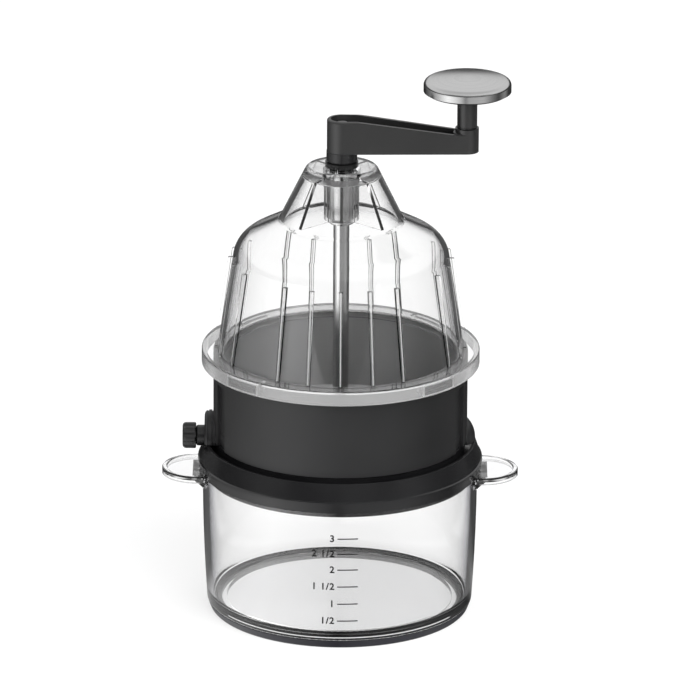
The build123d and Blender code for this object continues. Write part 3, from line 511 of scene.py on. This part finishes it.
def skirt_mask(tree, radius, height):
    outside = opposite(tree, below(tree, radius, skirt_radius, painted_light_softness))
    return product(tree, outside, below(tree, height, skirt_top, painted_light_softness))


def ceiling_mask(tree, radius, height):
    level = below(tree, apart(tree, height, ceiling_height), ceiling_reach, painted_light_softness)
    return product(tree, level, math_node(tree, "LESS_THAN", radius, ceiling_radius))


def rib_highlight_mask(tree, heading, radius, height):
    """A painted highlight: a thin greyed line along the middle of each rib, where the rib stands proud of
    the wall.
    """
    (foot_radius, foot_height), (corner_radius, corner_height) = dome_corners[:2]
    wall = mapped(tree, height, foot_radius, corner_radius, foot_height, corner_height)
    proud = math_node(tree, "SUBTRACT", radius, wall)
    from_rib = math_node(tree, "PINGPONG", math_node(tree, "MULTIPLY", heading, 360.0 / rib_pitch), 0.5)
    from_rib = product(tree, from_rib, radius, math.radians(rib_pitch))
    return product(tree, math_node(tree, "GREATER_THAN", proud, rib_proud),
                   below(tree, from_rib, rib_highlight_half_width, painted_light_softness),
                   math_node(tree, "GREATER_THAN", height, foot_height + rib_foot_gap),
                   math_node(tree, "LESS_THAN", height, rib_top))


def dome_painted_light(tree, point):
    """1 where the dome is greyed with painted light and 0 on its clear wall."""
    height = part(tree, point, "Z")
    radius = axis_distance(tree, point)
    heading = azimuth(tree, point)
    # painted light on the skirt, in place of light caught in its wall
    skirt = product(tree, skirt_mask(tree, radius, height), skirt_painted_light_share(tree, heading, height))
    ceiling = product(tree, ceiling_mask(tree, radius, height), ceiling_dulling)
    flat_parts = math_node(tree, "MAXIMUM", skirt, ceiling)
    # painted highlight lines along the ribs
    return math_node(tree, "MAXIMUM", flat_parts, rib_highlight_mask(tree, heading, radius, height))


def steel(name):
    """Steel with fine lines."""
    grey, roughness, anisotropy, stretch = steels[name]
    material, tree, shader = new_material(name)
    drawn = vector_math(tree, "MULTIPLY", object_point(tree), stretch)
    lines = noise(tree, drawn, line_scale, 4.0)
    colour = ramp(tree, lines, (line_band[0], grey * line_shade), (line_band[1], grey))
    tree.links.new(colour, shader.inputs["Base Color"])
    shader.inputs["Metallic"].default_value = 1.0
    gloss = mapped(tree, lines, roughness * line_gloss[0], roughness * line_gloss[1])
    tree.links.new(gloss, shader.inputs["Roughness"])
    round_gloss(tree, shader, anisotropy)
    tree.links.new(bump(tree, lines, line_strength, line_depth), shader.inputs["Normal"])
    return material


def brushed_cap():
    """Steel brushed in circles about the middle of the cap."""
    material, tree, shader = new_material("cap_steel")
    from_middle = vector_math(tree, "SUBTRACT", object_point(tree), (cap_low + cap_high) / 2)
    section = node(tree, "ShaderNodeCombineXYZ", {"X": axis_distance(tree, from_middle),
                                                  "Y": part(tree, from_middle, "Z")}).outputs[0]
    rings = noise(tree, section, cap_ring_scale)
    colour = ramp(tree, rings, *zip(line_band, cap_greys))
    tree.links.new(colour, shader.inputs["Base Color"])
    shader.inputs["Metallic"].default_value = 1.0
    shader.inputs["Roughness"].default_value = cap_roughness
    round_gloss(tree, shader, cap_anisotropy)
    tree.links.new(bump(tree, rings, cap_ring_strength, line_depth), shader.inputs["Normal"])
    return material


def ink():
    material, tree, shader = new_material("mark_ink")
    grain = noise(tree, object_point(tree), ink_grain_scale)
    tree.links.new(ramp(tree, grain, *zip(line_band, ink_greys)), shader.inputs["Base Color"])
    shader.inputs["Roughness"].default_value = ink_roughness
    shader.inputs["Specular IOR Level"].default_value = ink_shine
    return material


def dress(material, *names):
    for name in names:
        nodes[name].data.materials.clear()
        nodes[name].data.materials.append(material)


# ---- Cup marks -----------------------------------------------------------------------------------
def container_radius(height):
    """Outer radius of the container's side, an arc through its base, its belly and its rim."""
    share = (height - foot_top) / (container_top - foot_top)
    straight = container_base_radius + (container_rim_radius - container_base_radius) * share
    return straight + 4.0 * container_bulge * share * (1.0 - share)


def wrapped(flat):
    """Bends a flat mesh in x and z round the front of the container, just proud of its side."""
    for vertex in flat.vertices:
        across, depth, height = vertex.co
        radius = container_radius(height) + ink_proud + depth
        angle = across / radius
        vertex.co = (radius * math.sin(angle), -radius * math.cos(angle), height)
    return flat


def tick_mesh(height):
    """A line of a cup mark: a thin bar in steps, so that it can bend."""
    flat = bpy.data.meshes.new(f"tick_{len(bpy.data.meshes)}")
    verts = []
    faces = []
    for index in range(tick_steps + 1):
        across = tick_start + (tick_end - tick_start) * index / tick_steps
        for depth in (0.0, ink_thickness):
            for side in (-0.5, 0.5):
                verts.append((across, depth, height + side * tick_thickness))
    for index in range(tick_steps):
        here, there = index * 4, index * 4 + 4
        for first, second in ((0, 1), (1, 3), (3, 2), (2, 0)):
            faces.append((here + first, here + second, there + second, there + first))
    faces.append((0, 2, 3, 1))
    last = tick_steps * 4
    faces.append((last, last + 1, last + 3, last + 2))
    flat.from_pydata(verts, [], faces)
    return wrapped(flat)


def numeral_mesh(text, height):
    curve = bpy.data.curves.new(f"numeral_{text}", "FONT")
    curve.body = text
    curve.size = numeral_size
    curve.align_x = "RIGHT"
    curve.align_y = "CENTER"
    curve.extrude = ink_thickness / 2
    curve.offset = numeral_boldness
    curve.space_character = numeral_spacing
    curve.resolution_u = numeral_resolution
    holder = bpy.data.objects.new(curve.name, curve)
    bpy.context.scene.collection.objects.link(holder)
    bpy.context.view_layer.update()
    flat = bpy.data.meshes.new_from_object(holder.evaluated_get(bpy.context.evaluated_depsgraph_get()))
    bpy.data.objects.remove(holder)
    for vertex in flat.vertices:
        across, up, depth = vertex.co
        vertex.co = (numeral_end + across, depth + ink_thickness / 2, height + up)
    return wrapped(flat)


def add_cup_marks():
    material = ink()
    for text, height in mark_heights.items():
        label = text.replace(" ", "_").replace("/", "-")
        for kind, mesh in (("tick", tick_mesh(height)), ("numeral", numeral_mesh(text, height))):
            piece = bpy.data.objects.new(f"mark_{kind}_{label}", mesh)
            piece.data.materials.append(material)
            bpy.context.scene.collection.objects.link(piece)
            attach(piece, "container")


# ---- Stage, light and camera ---------------------------------------------------------------------
def ray_kinds(tree):
    """Three factors: 1 for a ray that sees the stage rather than gathers light from it, 1 once it
    is mirrored, and 1 once it has also passed through clear plastic."""
    path = node(tree, "ShaderNodeLightPath")
    straight = math_node(tree, "MAXIMUM", path.outputs["Is Camera Ray"], path.outputs["Is Glossy Ray"])
    any_seen = math_node(tree, "MAXIMUM", straight, path.outputs["Is Transmission Ray"])
    gathered = math_node(tree, "MINIMUM", path.outputs["Diffuse Depth"], 1.0)
    seen = product(tree, any_seen, opposite(tree, gathered))
    mirrored = math_node(tree, "MINIMUM", path.outputs["Glossy Depth"], 1.0)
    passed = math_node(tree, "MINIMUM", path.outputs["Transmission Depth"], 1.0)
    return seen, mirrored, passed


def by_degrees(stops):
    """Stops of a ramp over azimuth, from stops in degrees."""
    return [(0.5 + degrees / 360.0, value) for degrees, value in stops]


def floor_material():
    """Lit white, mixed with plain white to the eye, and grey cards to a mirror."""
    material, tree, shader = new_material("floor_white")
    shader.inputs["Base Color"].default_value = rgba(floor_grey)
    shader.inputs["Roughness"].default_value = floor_roughness
    shader.inputs["Specular IOR Level"].default_value = 0.0
    seen, mirrored, passed = ray_kinds(tree)
    heading = azimuth(tree, object_point(tree))
    cards = mixed(tree, passed, ramp(tree, heading, *by_degrees(floor_cards)),
                  ramp(tree, heading, *by_degrees(inner_floor_cards)))
    glow = node(tree, "ShaderNodeEmission", {"Color": mixed(tree, mirrored, 1.0, cards), "Strength": 1.0})
    share = math_node(tree, "MAXIMUM", product(tree, seen, floor_glow_share), product(tree, seen, mirrored))
    blend = node(tree, "ShaderNodeMixShader", {0: share, 1: shader.outputs[0], 2: glow.outputs[0]})
    tree.links.new(blend.outputs[0], tree.nodes["Material Output"].inputs["Surface"])
    return material


def add_floor():
    size = floor_half_size
    corners = [(-size, -size, 0), (size, -size, 0), (size, size, 0), (-size, size, 0)]
    mesh = bpy.data.meshes.new("floor")
    mesh.from_pydata(corners, [], [(0, 1, 2, 3)])
    floor = bpy.data.objects.new("floor", mesh)
    bpy.context.scene.collection.objects.link(floor)
    floor.data.materials.append(floor_material())


def add_world():
    """White to the eye, darker in front and overhead to a mirror, and soft with one window as light."""
    world = bpy.data.worlds.new("studio")
    bpy.context.scene.world = world
    world.use_nodes = True
    tree = world.node_tree
    direction = node(tree, "ShaderNodeTexCoord").outputs["Generated"]
    height = part(tree, direction, "Z")
    seen, mirrored, _ = ray_kinds(tree)
    front = product(tree, ramp(tree, azimuth(tree, direction), *by_degrees(front_card)),
                    below(tree, height, front_card_top, front_card_softness))
    mirror_view = mixed(tree, front, ramp(tree, height, *mirror_sky), front_card_grey)
    view = mixed(tree, mirrored, ramp(tree, height, *clear_sky), mirror_view)
    towards = vector_math(tree, "DOT_PRODUCT", direction, window_direction)
    window = mapped(tree, towards, sky_light, window_light, window_edge, window_core)
    to_eye = node(tree, "ShaderNodeLightPath").outputs["Is Camera Ray"]
    colour = mixed(tree, to_eye, mixed(tree, seen, window, view), 1.0)
    tree.links.new(colour, tree.nodes["Background"].inputs["Color"])


def add_softbox(name, place, size, power):
    light = bpy.data.lights.new(name, "AREA")
    light.shape = "RECTANGLE"
    light.size, light.size_y = size
    light.energy = power
    holder = bpy.data.objects.new(name, light)
    holder.location = place
    holder.rotation_euler = (softbox_aim - Vector(place)).to_track_quat("-Z", "Y").to_euler()
    holder.visible_glossy = False
    holder.visible_transmission = False
    bpy.context.scene.collection.objects.link(holder)


def add_camera():
    camera = bpy.data.objects.new("camera", bpy.data.cameras.new("camera"))
    camera.data.sensor_width = camera_sensor
    camera.data.lens = pixels_per_radian / frame_pixels * camera_sensor
    camera.data.clip_end = camera_reach
    forward = Vector((0.0, math.cos(camera_elevation), -math.sin(camera_elevation)))
    right = Vector((1.0, 0.0, 0.0))
    up = right.cross(forward)
    across = (frame_pixels / 2 - anchor_pixel[0]) * pixel_size
    down = (frame_pixels / 2 - anchor_pixel[1]) * pixel_size
    target = Vector((0.0, 0.0, anchor_height)) + right * across - up * down
    turn = forward.to_track_quat("-Z", "Y").to_matrix() @ Matrix.Rotation(camera_roll, 3, "Z")
    camera.matrix_world = Matrix.Translation(target - forward * camera_distance) @ turn.to_4x4()
    bpy.context.scene.collection.objects.link(camera)
    bpy.context.scene.camera = camera


# ---- Make it -------------------------------------------------------------------------------------
add_camera()
add_floor()
add_world()
for lamp, setting in softboxes.items():
    add_softbox(lamp, *setting)

dress(moulded_plastic("black_plastic"), "base_ring", "blade_plate", "food_holder", "collar", "pin_washer")
dress(arm_plastic(), "crank_arm", "knob_body")
dress(moulded_plastic("knob_plastic"), "selector_knob")
dress(housing_plastic(), "housing")
dress(moulded_plastic("foot_rubber"), "foot_ring")
dress(moulded_plastic("seal_rubber"), "rim_seal")
dress(moulded_plastic("grey_plastic"), "selector_bush", "selector_rod")
dress(bush_plastic(), "guide_bush")
dome_clear = clear_plastic("dome_clear", dome_edge_tint, dome_edge_start, dome_tilt, dome_painted_light)
dress(dome_clear, "dome")
container_clear = clear_plastic("container_clear", container_edge_tint, container_edge_start, container_tilt)
dress(container_clear, "container")
dress(steel("shaft_steel"), "shaft", "knob_pin", "holder_pin", "bush_clip")
dress(steel("blade_steel"), "straight_blade", "comb_medium", "comb_fine", "coring_tube")
dress(steel("screw_steel"), "arm_screw", "ring_screws", "blade_screws")
dress(brushed_cap(), "knob_cap")
add_cup_marks()

bpy.context.scene.view_settings.view_transform = "Standard"
